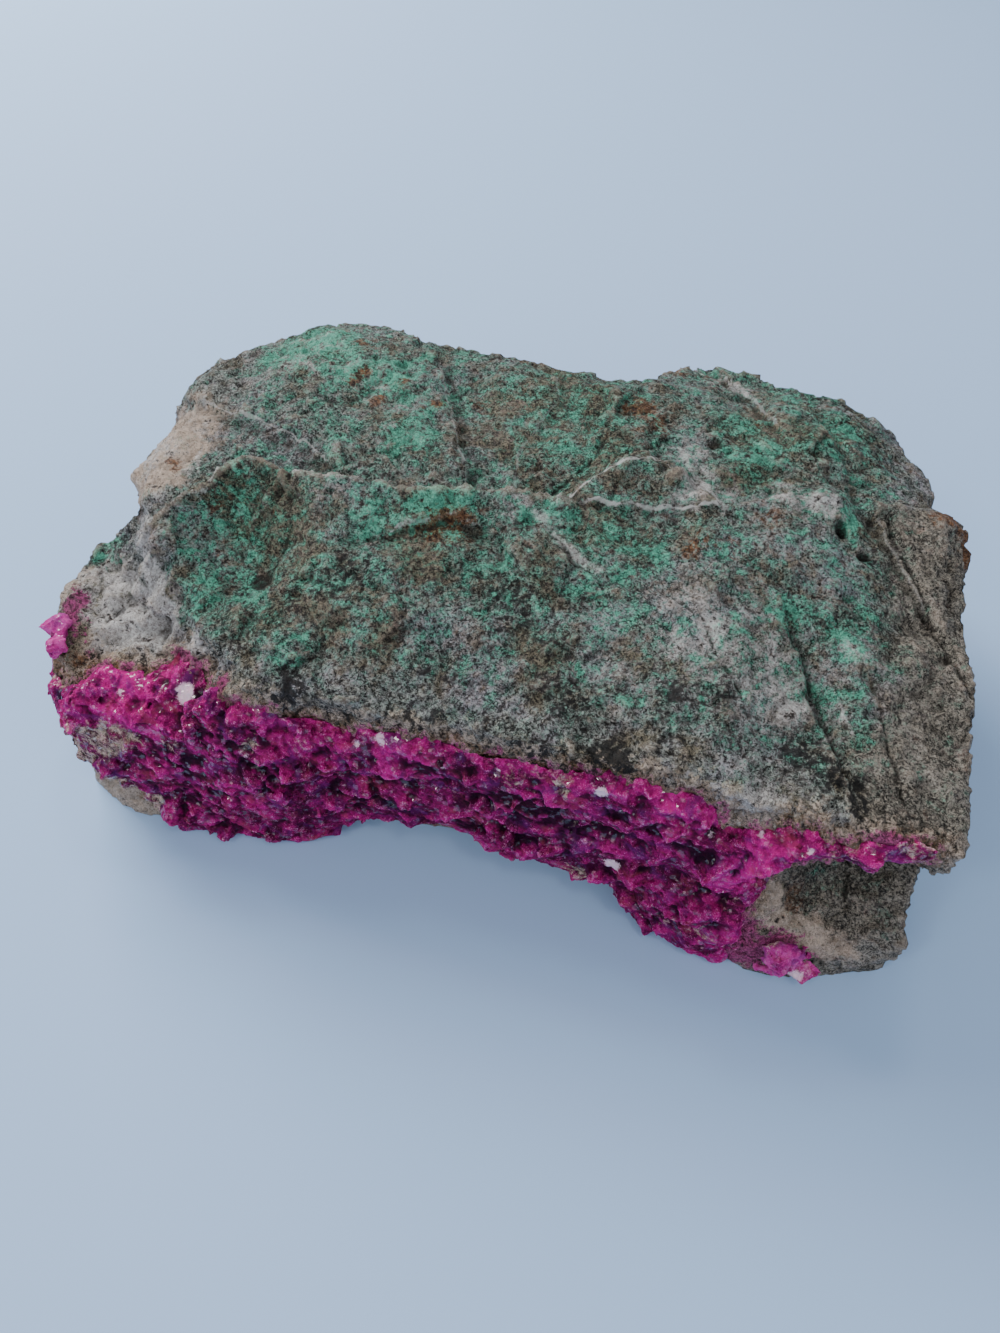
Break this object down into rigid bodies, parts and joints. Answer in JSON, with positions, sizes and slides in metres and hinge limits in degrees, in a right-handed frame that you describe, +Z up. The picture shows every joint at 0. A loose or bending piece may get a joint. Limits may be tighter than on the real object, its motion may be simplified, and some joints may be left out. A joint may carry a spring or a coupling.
{
  "type": "cobaltocalcite mineral specimen",
  "caption": "Hand specimen of cobaltocalcite: a rough block of green-stained host rock with a druse of magenta crystals along its front face.",
  "frame": {"origin": "centre of the bounding box's footprint, on the surface the specimen rests on", "axes": "+X runs along the crystal face from its left end to its right end, +Y from the crystal face to the back, +Z up"},
  "size_m": [0.1208, 0.089, 0.0445],
  "materials": {
    "host_rock": "rough broken grey-white rock, stained malachite green and rust brown, with black specks",
    "magenta_crystal": "glassy, translucent saturated magenta crystal faces with bright glints and dark gaps",
    "pale_crystal": "glassy, translucent paler pink crystal faces"
  },
  "bodies": {
    "root": {"matrix_rock": "host_rock", "crystal_crust": "magenta_crystal", "left_end_crystals": "pale_crystal", "foot_crystals": "pale_crystal"}
  },
  "joints": []
}
